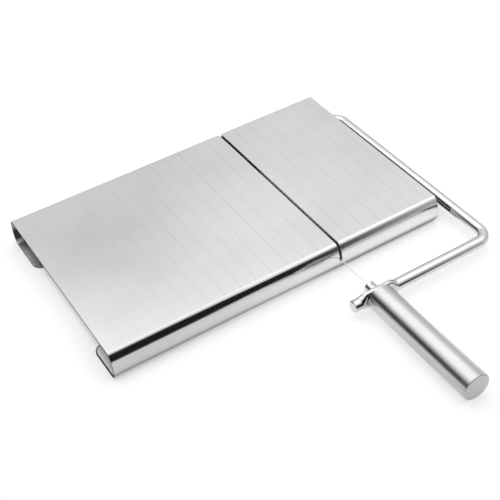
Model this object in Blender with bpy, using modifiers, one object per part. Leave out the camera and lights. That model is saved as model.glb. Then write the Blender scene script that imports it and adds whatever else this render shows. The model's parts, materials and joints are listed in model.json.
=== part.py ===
"""Wire cheese slicer board: a folded steel sheet with a slot, and a hinged bow that holds the wire.

Metres, +Z up. The origin lies on the table, under the middle of the whole object's outline.
+X runs along the board to the end that the bow's arm passes, and +Y runs to the rear, away from
the handle. The bow is drawn closed, with its wire down in the slot.
"""
import math

import bmesh
import bpy
from mathutils import Euler, Matrix, Vector

# Board, one folded sheet
BOARD_LENGTH = 0.212
BOARD_WIDTH = 0.1348
BOARD_HEIGHT = 0.0181
SHEET_THICKNESS = 0.001
TOP_BEND_RADIUS = 0.003
TOP_BEND_ANGLE = math.radians(60)
WALL_RADIUS = 0.0175
FOOT_BEND_RADIUS = 0.0052
FRONT_FOOT_WIDTH = 0.028
REAR_FOOT_WIDTH = 0.032
FOOT_CORNER_RADIUS = 0.0055

# Slot for the wire, cut across the top and down both walls
SLOT_INSET = 0.0694
SLOT_WIDTH = 0.0018
REAR_RELIEF_WIDTH = 0.003
REAR_RELIEF_REACH = 0.0045

# Bow, one bent rod: axle, arm and front bar
ROD_DIAMETER = 0.007
ARM_GAP = 0.00555
CORNER_RADIUS = 0.008
HINGE_INSET = 0.0222
BAR_REACH = 0.0336
BAR_OVERHANG = 0.0168
AXLE_OVERHANG = 0.006

# Flat eye pressed into the front bar
EYE_THICKNESS = 0.0034
EYE_HEIGHT = 0.0115
EYE_FLAT_LENGTH = 0.014
EYE_TAPER_LENGTH = 0.0058

# Hinge lugs, bent tabs under the board
LUG_THICKNESS = 0.0015
LUG_WIDTH = 0.012
LUG_FOOT_LENGTH = 0.0115
LUG_BEND_RADIUS = 0.003
LUG_MARGIN = 0.0024
LUG_CORNER_RADIUS = 0.0045
INNER_LUG_OFFSET = 0.0145
OUTER_LUG_INSET = 0.0155

# Push-on rings on the axle
RING_WALL = 0.0018
RING_THICKNESS = 0.0012

# Wire and its crimped barrels
WIRE_DIAMETER = 0.0006
BARREL_DIAMETER = 0.0026
BARREL_LENGTH = 0.0024
BARREL_FLOOR = 0.0005
REAR_BARREL_SEAT = 0.0005

# Tension stud
STUD_DIAMETER = 0.005
STUD_REACH = 0.014
STUD_HEAD_DIAMETER = 0.0068
STUD_HEAD_LENGTH = 0.0058
STUD_HEAD_WALL = 0.0018

# Handle
HANDLE_DIAMETER = 0.016
HANDLE_LENGTH = 0.0775
HANDLE_WALL = 0.0012
HANDLE_END_THICKNESS = 0.002
INSERT_LENGTH = 0.018

# Clearances, chamfers and the overrun of every cut
TABLE_GAP = 0.0003
SEAT_GAP = 0.0003
RUNNING_GAP = 0.0003
EDGE_CHAMFER = 0.0004
SMALL_CHAMFER = 0.0002
CUT_OVERRUN = 0.003
WELD_DISTANCE = 0.00001

# Facets, and the angle past which an edge is shaded sharp
SHARP_ANGLE = math.radians(35)
TOP_BEND_STEPS = 8
WALL_STEPS = 6
FOOT_BEND_STEPS = 8
LUG_BEND_STEPS = 6
CORNER_STEPS = 8
EYE_STATIONS = 22
TURNED_STEPS = 32
WIRE_STEPS = 12
ROD_BEVEL_RESOLUTION = 10
WIRE_BEVEL_RESOLUTION = 2

# Places worked out from the sizes above
ROD_RADIUS = ROD_DIAMETER / 2
AXLE_Z = HANDLE_DIAMETER / 2 + TABLE_GAP
FRONT_REACH = BAR_REACH + EYE_THICKNESS / 2 + SEAT_GAP + HANDLE_LENGTH
BOARD_X = -(ARM_GAP + ROD_DIAMETER) / 2
BOARD_Y = FRONT_REACH / 2
BOARD_RIGHT = BOARD_X + BOARD_LENGTH / 2
BOARD_FRONT = BOARD_Y - BOARD_WIDTH / 2
BOARD_REAR = BOARD_Y + BOARD_WIDTH / 2
WIRE_X = BOARD_RIGHT - SLOT_INSET
ARM_X = BOARD_RIGHT + ARM_GAP + ROD_RADIUS
AXLE_Y = BOARD_REAR - HINGE_INSET
BAR_Y = BOARD_FRONT - BAR_REACH
SLOT_FLOOR_Z = AXLE_Z - WIRE_DIAMETER / 2 - SEAT_GAP
UNDERSIDE_Z = BOARD_HEIGHT - SHEET_THICKNESS
INNER_LUG_X = WIRE_X - INNER_LUG_OFFSET
OUTER_LUG_X = BOARD_RIGHT - OUTER_LUG_INSET
EYE_REAR_Y = BAR_Y + EYE_THICKNESS / 2
HANDLE_MOUTH_Y = BAR_Y - EYE_THICKNESS / 2 - SEAT_GAP
STUD_HEAD_Y = EYE_REAR_Y + SEAT_GAP
BARREL_BORE_RADIUS = WIRE_DIAMETER / 2 + SEAT_GAP
POCKET_LENGTH = BARREL_LENGTH + 2 * SEAT_GAP
POCKET_REAR_Y = STUD_HEAD_Y + STUD_HEAD_LENGTH - STUD_HEAD_WALL
FRONT_BARREL_Y = POCKET_REAR_Y - SEAT_GAP
REAR_BARREL_Y = AXLE_Y + REAR_BARREL_SEAT + SEAT_GAP

# Frames for flat outlines: local z is the direction of their thickness
FACING_X = Euler((math.pi / 2, 0, math.pi / 2)).to_matrix().to_4x4()
FACING_Y = Euler((math.pi / 2, 0, 0)).to_matrix().to_4x4()
FACING_Z = Matrix.Identity(4)
AXIS_TO_REAR = Euler((-math.pi / 2, 0, 0)).to_matrix().to_4x4()
AXIS_TO_FRONT = Euler((math.pi / 2, 0, 0)).to_matrix().to_4x4()
AXIS_TO_RIGHT = Euler((0, math.pi / 2, 0)).to_matrix().to_4x4()


def clear_scene():
    """Remove the objects that a new file starts with."""
    for scene_object in list(bpy.data.objects):
        bpy.data.objects.remove(scene_object, do_unlink=True)


def new_collection(name):
    """Make a collection under the scene's own."""
    collection = bpy.data.collections.new(name)
    bpy.context.scene.collection.children.link(collection)
    return collection


clear_scene()
PARTS = new_collection("wire_cheese_slicer_board")
CUTTERS = new_collection("cutters")


def metal(name, colour, roughness):
    """Make a metal with one colour and one roughness."""
    material = bpy.data.materials.new(name)
    material.use_nodes = True
    shader = material.node_tree.nodes["Principled BSDF"]
    shader.inputs["Base Color"].default_value = (*colour, 1.0)
    shader.inputs["Roughness"].default_value = roughness
    shader.inputs["Metallic"].default_value = 1.0
    return material


BRUSHED_STEEL = metal("brushed_steel", (0.66, 0.67, 0.66), 0.32)
SATIN_STEEL = metal("satin_steel", (0.70, 0.70, 0.70), 0.24)
POLISHED_STEEL = metal("polished_steel", (0.78, 0.78, 0.78), 0.10)
WIRE_STEEL = metal("wire_steel", (0.80, 0.80, 0.80), 0.15)
SPRING_STEEL = metal("spring_steel", (0.34, 0.34, 0.35), 0.40)
BRASS = metal("brass", (0.72, 0.56, 0.28), 0.30)


def arc(centre, radius, start, end, steps):
    """Points round part of a circle, from one angle to the other, both ends kept."""
    points = []
    for step in range(steps + 1):
        angle = start + (end - start) * step / steps
        points.append((centre[0] + radius * math.cos(angle), centre[1] + radius * math.sin(angle)))
    return points


def place(scene_object, location, frame, turn=0.0):
    """Turn an object about its own z axis, then set it in a frame at a place."""
    matrix = Matrix.Translation(Vector(location)) @ frame @ Matrix.Rotation(turn, 4, "Z")
    scene_object.location = matrix.to_translation()
    scene_object.rotation_euler = matrix.to_euler()
    return scene_object


def add_to(collection, name, data, material=None):
    """Put an object with this data into a collection."""
    scene_object = bpy.data.objects.new(name, data)
    if material is not None:
        data.materials.append(material)
    collection.objects.link(scene_object)
    return scene_object


def path_curve(name, points, closed):
    """Make a curve of straight runs through points of two or three numbers."""
    curve = bpy.data.curves.new(name, "CURVE")
    spline = curve.splines.new("POLY")
    spline.points.add(len(points) - 1)
    for curve_point, point in zip(spline.points, points):
        curve_point.co = Vector(point).to_3d().to_4d()
    spline.use_cyclic_u = closed
    return curve


def curve_solid(collection, curve, material=None):
    """Turn a curve into a mesh object whose caps are welded to its sides."""
    name = curve.name
    drawn = add_to(collection, name, curve)
    bpy.context.view_layer.update()
    evaluated = drawn.evaluated_get(bpy.context.evaluated_depsgraph_get())
    mesh = bpy.data.meshes.new_from_object(evaluated)
    solid = bpy.data.objects.new(name + "_solid", mesh)
    solid.matrix_world = drawn.matrix_world
    bpy.data.objects.remove(drawn, do_unlink=True)
    bpy.data.curves.remove(curve)
    solid.name = name
    mesh.name = name
    collection.objects.link(solid)
    shape = bmesh.new()
    shape.from_mesh(mesh)
    bmesh.ops.remove_doubles(shape, verts=shape.verts, dist=WELD_DISTANCE)
    bmesh.ops.recalc_face_normals(shape, faces=shape.faces)
    shape.to_mesh(mesh)
    shape.free()
    if material is not None:
        mesh.materials.append(material)
    return solid


def smooth(scene_object):
    """Shade round sides smooth and keep the real edges sharp."""
    scene_object.data.shade_smooth()
    scene_object.data.set_sharp_from_angle(angle=SHARP_ANGLE)


def folded_sheet(name, path, width, thickness, material):
    """Make a bent sheet from the middle line of its section, as wide as given across it."""
    curve = path_curve(name, path, closed=False)
    curve.extrude = width / 2
    sheet = curve_solid(PARTS, curve, material)
    smooth(sheet)
    solidify = sheet.modifiers.new("thickness", "SOLIDIFY")
    solidify.thickness = thickness
    solidify.offset = 0
    solidify.use_even_offset = True
    return sheet


def turned(collection, name, profile, closed, steps, material=None):
    """Spin a profile of (radius, height) points about the local z axis."""
    mesh = bpy.data.meshes.new(name)
    shape = bmesh.new()
    corners = [shape.verts.new((radius, 0, height)) for radius, height in profile]
    for first, second in zip(corners, corners[1:]):
        shape.edges.new((first, second))
    if closed:
        shape.edges.new((corners[-1], corners[0]))
    shape.to_mesh(mesh)
    shape.free()
    solid = add_to(collection, name, mesh, material)
    screw = solid.modifiers.new("turning", "SCREW")
    screw.steps = steps
    screw.render_steps = steps
    screw.use_merge_vertices = True
    screw.merge_threshold = WELD_DISTANCE
    screw.use_smooth_shade = True
    return solid


def as_cutter(scene_object):
    """Keep a guide shape out of the picture."""
    scene_object.hide_render = True
    scene_object.display_type = "WIRE"
    return scene_object


def box_cutter(name, low, high):
    """Make a box between two corners, to cut with."""
    mesh = bpy.data.meshes.new(name)
    shape = bmesh.new()
    bmesh.ops.create_cube(shape, size=1)
    size = Vector(high) - Vector(low)
    bmesh.ops.scale(shape, vec=size, verts=shape.verts)
    shape.to_mesh(mesh)
    shape.free()
    cutter = add_to(CUTTERS, name, mesh)
    cutter.location = (Vector(high) + Vector(low)) / 2
    return as_cutter(cutter)


def drill(name, radius, depth, location, frame):
    """Make a round cutter that starts at a place and runs along the frame's local z axis."""
    profile = [(0, depth), (radius, depth), (radius, 0), (0, 0)]
    cutter = turned(CUTTERS, name, profile, False, TURNED_STEPS)
    place(cutter, location, frame)
    return as_cutter(cutter)


def corner_cutter(name, radius, depth, location, frame, turn):
    """Make the cutter that rounds a square corner whose sides run along local -x and -y."""
    outline = [(-radius, CUT_OVERRUN)]
    outline += arc((-radius, -radius), radius, math.pi / 2, 0, CORNER_STEPS)
    outline += [(CUT_OVERRUN, -radius), (CUT_OVERRUN, CUT_OVERRUN)]
    curve = path_curve(name, outline, closed=True)
    curve.dimensions = "2D"
    curve.fill_mode = "BOTH"
    curve.extrude = depth / 2
    cutter = curve_solid(CUTTERS, curve)
    place(cutter, location, frame, turn)
    return as_cutter(cutter)


def cut(scene_object, cutter):
    """Take a cutter's shape out of an object."""
    boolean = scene_object.modifiers.new(cutter.name, "BOOLEAN")
    boolean.operation = "DIFFERENCE"
    boolean.solver = "EXACT"
    boolean.object = cutter


def half_board_path(foot_width):
    """Middle line of the sheet from the board's centre line round one wall to its foot's edge.

    The wall bulges: it is one wide arc that meets the top bend and the foot bend smoothly.
    """
    half_sheet = SHEET_THICKNESS / 2
    top_end = math.pi / 2 - TOP_BEND_ANGLE
    wall_centre = (BOARD_WIDTH / 2 - WALL_RADIUS,
                   BOARD_HEIGHT - TOP_BEND_RADIUS - (WALL_RADIUS - TOP_BEND_RADIUS) * math.sin(top_end))
    wall_end = math.asin((FOOT_BEND_RADIUS - wall_centre[1]) / (WALL_RADIUS - FOOT_BEND_RADIUS))
    top_centre = arc(wall_centre, WALL_RADIUS - TOP_BEND_RADIUS, top_end, top_end, 1)[0]
    foot_centre = arc(wall_centre, WALL_RADIUS - FOOT_BEND_RADIUS, wall_end, wall_end, 1)[0]
    points = arc(top_centre, TOP_BEND_RADIUS - half_sheet, math.pi / 2, top_end, TOP_BEND_STEPS)
    points += arc(wall_centre, WALL_RADIUS - half_sheet, top_end, wall_end, WALL_STEPS)[1:]
    points += arc(foot_centre, FOOT_BEND_RADIUS - half_sheet, wall_end, -math.pi / 2,
                  FOOT_BEND_STEPS)[1:]
    points.append((BOARD_WIDTH / 2 - foot_width, half_sheet))
    return points


def board_plate():
    """Folded sheet with its slot, and with the feet's corners rounded at both ends."""
    rear_half = half_board_path(REAR_FOOT_WIDTH)
    front_half = [(-across, height) for across, height in reversed(half_board_path(FRONT_FOOT_WIDTH))]
    board = folded_sheet("board_plate", front_half + rear_half, BOARD_LENGTH, SHEET_THICKNESS,
                         BRUSHED_STEEL)
    place(board, (BOARD_X, BOARD_Y, 0), FACING_X)
    slot = box_cutter("slot_cutter",
                      (WIRE_X - SLOT_WIDTH / 2, BOARD_FRONT - CUT_OVERRUN, SLOT_FLOOR_Z),
                      (WIRE_X + SLOT_WIDTH / 2, BOARD_REAR + CUT_OVERRUN, BOARD_HEIGHT + CUT_OVERRUN))
    cut(board, slot)
    relief = box_cutter("slot_relief_cutter",
                        (WIRE_X - REAR_RELIEF_WIDTH / 2, BOARD_REAR - REAR_RELIEF_REACH, SLOT_FLOOR_Z),
                        (WIRE_X + REAR_RELIEF_WIDTH / 2, BOARD_REAR + CUT_OVERRUN,
                         BOARD_HEIGHT + CUT_OVERRUN))
    cut(board, relief)
    front_edge = FRONT_FOOT_WIDTH - BOARD_WIDTH / 2
    rear_edge = BOARD_WIDTH / 2 - REAR_FOOT_WIDTH
    half_length = BOARD_LENGTH / 2
    corners = [(half_length, front_edge), (-half_length, front_edge),
               (-half_length, rear_edge), (half_length, rear_edge)]
    for quarter, (across, along) in enumerate(corners):
        cutter = corner_cutter("foot_corner_cutter_%d" % (quarter + 1), FOOT_CORNER_RADIUS,
                               2 * FOOT_BEND_RADIUS, (BOARD_X + across, BOARD_Y + along, 0),
                               FACING_Z, quarter * math.pi / 2)
        cut(board, cutter)
    return board


def hinge_lug(name, leg_x, turn):
    """Bent tab whose foot lies under the board and whose leg carries the axle."""
    middle_radius = LUG_BEND_RADIUS - LUG_THICKNESS / 2
    top = UNDERSIDE_Z - SEAT_GAP - LUG_THICKNESS / 2
    bottom = AXLE_Z - ROD_RADIUS - RUNNING_GAP - LUG_MARGIN
    path = [(-LUG_FOOT_LENGTH, top)]
    path += arc((-middle_radius, top - middle_radius), middle_radius, math.pi / 2, 0, LUG_BEND_STEPS)
    path.append((0, bottom))
    lug = folded_sheet(name, path, LUG_WIDTH, LUG_THICKNESS, BRUSHED_STEEL)
    place(lug, (leg_x, AXLE_Y, 0), Matrix.Rotation(turn, 4, "Z") @ FACING_Y)
    bore = drill(name + "_bore_cutter", ROD_RADIUS + RUNNING_GAP, LUG_THICKNESS + 2 * CUT_OVERRUN,
                 (leg_x - LUG_THICKNESS / 2 - CUT_OVERRUN, AXLE_Y, AXLE_Z), AXIS_TO_RIGHT)
    cut(lug, bore)
    for side, quarter in ((1, -1), (-1, 2)):
        cutter = corner_cutter("%s_corner_cutter_%s" % (name, "rear" if side > 0 else "front"),
                               LUG_CORNER_RADIUS, 2 * LUG_THICKNESS,
                               (leg_x, AXLE_Y + side * LUG_WIDTH / 2, bottom),
                               FACING_X, quarter * math.pi / 2)
        cut(lug, cutter)
    return lug


def bow_line():
    """Centre line of the bent rod, from the axle's inner end to the front bar's free end."""
    points = [(INNER_LUG_X - AXLE_OVERHANG, AXLE_Y)]
    points += arc((ARM_X - CORNER_RADIUS, AXLE_Y - CORNER_RADIUS), CORNER_RADIUS,
                  math.pi / 2, 0, CORNER_STEPS)
    points += arc((ARM_X - CORNER_RADIUS, BAR_Y + CORNER_RADIUS), CORNER_RADIUS,
                  0, -math.pi / 2, CORNER_STEPS)
    reach = EYE_FLAT_LENGTH / 2 + EYE_TAPER_LENGTH
    for station in range(EYE_STATIONS + 1):
        points.append((WIRE_X + reach - 2 * reach * station / EYE_STATIONS, BAR_Y))
    points.append((WIRE_X - BAR_OVERHANG, BAR_Y))
    return points


def press_eye(rod):
    """Squeeze the front bar flat round the stud: thinner along Y and taller along Z."""
    half_thickness = EYE_THICKNESS / 2
    growth = EYE_HEIGHT / ROD_DIAMETER - 1
    for vertex in rod.data.vertices:
        if vertex.co.y > BAR_Y + ROD_DIAMETER:
            continue
        past_flat = abs(vertex.co.x - WIRE_X) - EYE_FLAT_LENGTH / 2
        share = 1 - min(max(past_flat / EYE_TAPER_LENGTH, 0), 1)
        share = share * share * (3 - 2 * share)
        depth = vertex.co.y - BAR_Y
        pressed = min(max(depth, -half_thickness), half_thickness)
        vertex.co.y = BAR_Y + depth + (pressed - depth) * share
        vertex.co.z = vertex.co.z * (1 + growth * share)


def bow_rod():
    """Bent rod with its pressed eye, the wire's cross hole and the seat of the wire's rear barrel."""
    curve = path_curve("bow_rod", bow_line(), closed=False)
    curve.dimensions = "3D"
    curve.twist_mode = "Z_UP"
    curve.bevel_depth = ROD_RADIUS
    curve.bevel_resolution = ROD_BEVEL_RESOLUTION
    curve.use_fill_caps = True
    rod = curve_solid(PARTS, curve, POLISHED_STEEL)
    press_eye(rod)
    smooth(rod)
    rod.location.z = AXLE_Z
    eye_bore = drill("eye_bore_cutter", STUD_DIAMETER / 2 + RUNNING_GAP, ROD_DIAMETER,
                     (WIRE_X, BAR_Y - ROD_RADIUS, AXLE_Z), AXIS_TO_REAR)
    cut(rod, eye_bore)
    wire_hole = drill("wire_hole_cutter", BARREL_BORE_RADIUS, 2 * ROD_DIAMETER,
                      (WIRE_X, AXLE_Y - ROD_DIAMETER, AXLE_Z), AXIS_TO_REAR)
    cut(rod, wire_hole)
    seat = drill("barrel_seat_cutter", BARREL_DIAMETER / 2 + SEAT_GAP, ROD_DIAMETER,
                 (WIRE_X, AXLE_Y + REAR_BARREL_SEAT, AXLE_Z), AXIS_TO_REAR)
    cut(rod, seat)
    return rod


def axle_ring(name, left_x):
    """Push-on ring that keeps the axle from sliding through its lug."""
    bore = ROD_RADIUS + SEAT_GAP
    rim = bore + RING_WALL
    profile = [(rim, RING_THICKNESS - SMALL_CHAMFER), (rim, SMALL_CHAMFER), (rim - SMALL_CHAMFER, 0),
               (bore, 0), (bore, RING_THICKNESS), (rim - SMALL_CHAMFER, RING_THICKNESS)]
    ring = turned(PARTS, name, profile, True, TURNED_STEPS, SPRING_STEEL)
    return place(ring, (left_x, AXLE_Y, AXLE_Z), AXIS_TO_RIGHT)


def wire_barrel(name, mouth_y, frame):
    """Crimped barrel, a turned cup whose mouth takes the wire's end."""
    rim = BARREL_DIAMETER / 2
    profile = [(0, BARREL_FLOOR - BARREL_LENGTH), (BARREL_BORE_RADIUS, BARREL_FLOOR - BARREL_LENGTH),
               (BARREL_BORE_RADIUS, 0), (rim - SMALL_CHAMFER, 0), (rim, -SMALL_CHAMFER),
               (rim, SMALL_CHAMFER - BARREL_LENGTH), (rim - SMALL_CHAMFER, -BARREL_LENGTH),
               (0, -BARREL_LENGTH)]
    barrel = turned(PARTS, name, profile, False, WIRE_STEPS * 2, BRASS)
    return place(barrel, (WIRE_X, mouth_y, AXLE_Z), frame)


def cutting_wire():
    """Straight wire from the front barrel's bore to the rear barrel's bore."""
    bore_depth = BARREL_LENGTH - BARREL_FLOOR - SEAT_GAP
    ends = [(WIRE_X, FRONT_BARREL_Y - bore_depth, AXLE_Z), (WIRE_X, REAR_BARREL_Y + bore_depth, AXLE_Z)]
    curve = path_curve("cutting_wire", ends, closed=False)
    curve.dimensions = "3D"
    curve.bevel_depth = WIRE_DIAMETER / 2
    curve.bevel_resolution = WIRE_BEVEL_RESOLUTION
    curve.use_fill_caps = True
    wire = curve_solid(PARTS, curve, WIRE_STEEL)
    smooth(wire)
    return wire


def tension_stud():
    """Stud with a slotted head behind the eye and a shank through the eye into the handle."""
    head = STUD_HEAD_DIAMETER / 2
    shank = STUD_DIAMETER / 2
    shank_end = HANDLE_MOUTH_Y - STUD_HEAD_Y - STUD_REACH
    profile = [(0, STUD_HEAD_LENGTH), (head - EDGE_CHAMFER, STUD_HEAD_LENGTH),
               (head, STUD_HEAD_LENGTH - EDGE_CHAMFER), (head, 0), (shank, 0),
               (shank, shank_end + EDGE_CHAMFER), (shank - EDGE_CHAMFER, shank_end), (0, shank_end)]
    stud = turned(PARTS, "tension_stud", profile, False, TURNED_STEPS, POLISHED_STEEL)
    place(stud, (WIRE_X, STUD_HEAD_Y, AXLE_Z), AXIS_TO_REAR)
    pocket_half = BARREL_DIAMETER / 2 + SEAT_GAP
    bottom = AXLE_Z - head - CUT_OVERRUN
    pocket = box_cutter("stud_pocket_cutter",
                        (WIRE_X - pocket_half, POCKET_REAR_Y - POCKET_LENGTH, bottom),
                        (WIRE_X + pocket_half, POCKET_REAR_Y, AXLE_Z + pocket_half))
    cut(stud, pocket)
    slit = box_cutter("stud_slit_cutter",
                      (WIRE_X - BARREL_BORE_RADIUS, POCKET_REAR_Y - POCKET_LENGTH / 2, bottom),
                      (WIRE_X + BARREL_BORE_RADIUS, STUD_HEAD_Y + STUD_HEAD_LENGTH + CUT_OVERRUN,
                       AXLE_Z + head + CUT_OVERRUN))
    cut(stud, slit)
    return stud


def handle_grip():
    """Tube closed at its far end, with its mouth at the eye."""
    rim = HANDLE_DIAMETER / 2
    bore = rim - HANDLE_WALL
    profile = [(0, HANDLE_END_THICKNESS - HANDLE_LENGTH), (bore, HANDLE_END_THICKNESS - HANDLE_LENGTH),
               (bore, 0), (rim - EDGE_CHAMFER, 0), (rim, -EDGE_CHAMFER),
               (rim, EDGE_CHAMFER - HANDLE_LENGTH), (rim - EDGE_CHAMFER, -HANDLE_LENGTH),
               (0, -HANDLE_LENGTH)]
    grip = turned(PARTS, "handle_grip", profile, False, TURNED_STEPS * 2, SATIN_STEEL)
    return place(grip, (WIRE_X, HANDLE_MOUTH_Y, AXLE_Z), AXIS_TO_REAR)


def handle_thread_insert():
    """Threaded sleeve in the handle's mouth, drawn with a plain bore round the stud."""
    rim = HANDLE_DIAMETER / 2 - HANDLE_WALL - SEAT_GAP
    bore = STUD_DIAMETER / 2 + RUNNING_GAP
    profile = [(rim, 0), (rim, -INSERT_LENGTH), (bore, -INSERT_LENGTH), (bore, 0)]
    insert = turned(PARTS, "handle_thread_insert", profile, True, TURNED_STEPS, BRASS)
    return place(insert, (WIRE_X, HANDLE_MOUTH_Y, AXLE_Z), AXIS_TO_REAR)


def pivot(name, location, parent=None):
    """Make an empty on a joint's axis."""
    empty = add_to(PARTS, name, None)
    empty.location = location
    if parent is not None:
        hang(empty, parent)
    return empty


def hang(scene_object, carrier):
    """Parent an object to a pivot and keep it where it is."""
    scene_object.parent = carrier
    bpy.context.view_layer.update()
    scene_object.matrix_parent_inverse = carrier.matrix_world.inverted()


def build():
    """Make every piece, then hang the moving ones on their joints' axes."""
    board_plate()
    hinge_lug("hinge_lug_inner", INNER_LUG_X, 0)
    hinge_lug("hinge_lug_outer", OUTER_LUG_X, math.pi)
    bow_pivot = pivot("bow_pivot", (WIRE_X, AXLE_Y, AXLE_Z))
    ring_gap = LUG_THICKNESS / 2 + SEAT_GAP
    on_bow = [bow_rod(),
              axle_ring("axle_ring_inner", INNER_LUG_X + ring_gap),
              axle_ring("axle_ring_outer", OUTER_LUG_X - ring_gap - RING_THICKNESS)]
    for piece in on_bow:
        hang(piece, bow_pivot)
    stud_pivot = pivot("stud_pivot", (WIRE_X, STUD_HEAD_Y, AXLE_Z), bow_pivot)
    on_stud = [tension_stud(), cutting_wire(),
               wire_barrel("wire_barrel_front", FRONT_BARREL_Y, AXIS_TO_REAR),
               wire_barrel("wire_barrel_rear", REAR_BARREL_Y, AXIS_TO_FRONT)]
    for piece in on_stud:
        hang(piece, stud_pivot)
    handle_pivot = pivot("handle_pivot", (WIRE_X, HANDLE_MOUTH_Y, AXLE_Z), bow_pivot)
    for piece in (handle_grip(), handle_thread_insert()):
        hang(piece, handle_pivot)


build()
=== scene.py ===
# %% [markdown]
# # A wire cheese slicer board, dressed for its picture
# The solids of the board, its hinged bow and its handle come ready made, at their real size.
# This file gives them their looks. It builds finer meshes for the pieces that show, paints every
# piece with a metal that has its own grain and wear, and sets up the light, the floor and the
# camera. All lengths are in metres. +X runs along the board to the arm, +Y runs away from the
# handle, and +Z is up.

# %% Load the solid pieces
import json
import math

import bmesh
import bpy
from mathutils import Matrix, Vector

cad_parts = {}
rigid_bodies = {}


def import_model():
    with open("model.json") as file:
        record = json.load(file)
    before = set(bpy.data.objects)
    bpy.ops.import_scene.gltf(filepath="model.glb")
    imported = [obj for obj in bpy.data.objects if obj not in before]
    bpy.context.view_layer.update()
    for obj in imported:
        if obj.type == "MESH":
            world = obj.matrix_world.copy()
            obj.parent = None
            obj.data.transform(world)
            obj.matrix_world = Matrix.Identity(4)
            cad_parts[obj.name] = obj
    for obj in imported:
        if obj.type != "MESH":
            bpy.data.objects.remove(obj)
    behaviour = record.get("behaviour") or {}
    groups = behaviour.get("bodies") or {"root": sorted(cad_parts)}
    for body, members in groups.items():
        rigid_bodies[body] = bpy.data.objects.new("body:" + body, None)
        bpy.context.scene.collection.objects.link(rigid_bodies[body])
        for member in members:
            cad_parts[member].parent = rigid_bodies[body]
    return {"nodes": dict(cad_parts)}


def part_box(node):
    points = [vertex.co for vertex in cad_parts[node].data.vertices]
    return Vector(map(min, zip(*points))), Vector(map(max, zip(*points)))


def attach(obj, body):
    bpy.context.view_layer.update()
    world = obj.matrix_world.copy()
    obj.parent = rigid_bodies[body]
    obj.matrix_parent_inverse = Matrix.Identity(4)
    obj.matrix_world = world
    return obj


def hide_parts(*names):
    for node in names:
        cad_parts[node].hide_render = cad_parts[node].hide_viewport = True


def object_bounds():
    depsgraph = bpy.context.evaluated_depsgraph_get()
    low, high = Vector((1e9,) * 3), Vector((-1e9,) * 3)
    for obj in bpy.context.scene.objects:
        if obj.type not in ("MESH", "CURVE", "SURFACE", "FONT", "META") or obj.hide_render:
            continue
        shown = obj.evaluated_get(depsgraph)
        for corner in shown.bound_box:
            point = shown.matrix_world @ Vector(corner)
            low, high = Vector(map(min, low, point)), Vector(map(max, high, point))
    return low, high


for leftover in list(bpy.data.objects):
    bpy.data.objects.remove(leftover, do_unlink=True)
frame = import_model()
solid_low, solid_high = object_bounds()
solid_size = solid_high - solid_low
print("solid pieces:", ", ".join(sorted(frame["nodes"])))
print("whole object, mm:", [round(side * 1000, 1) for side in solid_size])

# %% [markdown]
# ## Sizes
# The places of the pieces are read from the solids, so that what is built here lies exactly where
# the solid piece lies. Only what a box can't tell is named here, such as the radius of a bend.

# %% Sizes read from the solids
board_low, board_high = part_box("board_plate")
bow_low, bow_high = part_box("bow_rod")
wire_low, wire_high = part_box("cutting_wire")
stud_low, stud_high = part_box("tension_stud")
grip_low, grip_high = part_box("handle_grip")
wire_x, _, axle_z = (wire_low + wire_high) / 2
print("wire at x %.2f mm, axle %.2f mm high" % (wire_x * 1000, axle_z * 1000))

# %% Sizes of the sheet
SHEET_THICKNESS = 0.001
TOP_BEND_RADIUS = 0.003
TOP_BEND_ANGLE = math.radians(60)
WALL_RADIUS = 0.0175
FOOT_BEND_RADIUS = 0.0052
FRONT_FOOT_WIDTH = 0.028
REAR_FOOT_WIDTH = 0.032
FOOT_CORNER_RADIUS = 0.0055
SLOT_WIDTH = 0.0018
REAR_RELIEF_WIDTH = 0.003
REAR_RELIEF_REACH = 0.0045
SEAT_GAP = 0.0003
board_length = board_high.x - board_low.x
board_width = board_high.y - board_low.y
board_height = board_high.z
board_middle = (board_low + board_high) / 2
print("sheet %.1f x %.1f mm" % (board_length * 1000, board_width * 1000))

# %% Sizes of the bow, the stud, the wire and the handle
ROD_DIAMETER = 0.007
CORNER_RADIUS = 0.008
BAR_OVERHANG = 0.0168
EYE_THICKNESS = 0.0034
EYE_HEIGHT = 0.0115
EYE_FLAT_LENGTH = 0.014
EYE_TAPER_LENGTH = 0.0058
STUD_DIAMETER = 0.005
STUD_HEAD_LENGTH = 0.0058
STUD_HEAD_WALL = 0.0018
BARREL_DIAMETER = 0.0026
BARREL_LENGTH = 0.0024
REAR_BARREL_SEAT = 0.0005
HANDLE_WALL = 0.0012
HANDLE_END_THICKNESS = 0.002
RUNNING_GAP = 0.0003
rod_radius = ROD_DIAMETER / 2
wire_radius = (wire_high.z - wire_low.z) / 2
arm_x = bow_high.x - rod_radius
axle_y = bow_high.y - rod_radius
bar_y = bow_low.y + rod_radius
print("arm at x %.1f mm, front bar at y %.1f mm" % (arm_x * 1000, bar_y * 1000))

# %% [markdown]
# ## Shader maths as plain expressions
# A finish is a network of nodes. Written out node by node, even a simple sum takes many lines, so
# this small class wraps the output socket of a node and lets Python's own operators add the Math
# nodes. `1 - mask` then means what it says. Every other node comes from one method, `node`, which
# takes the node's type, its settings and the values or links of its sockets.

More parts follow.
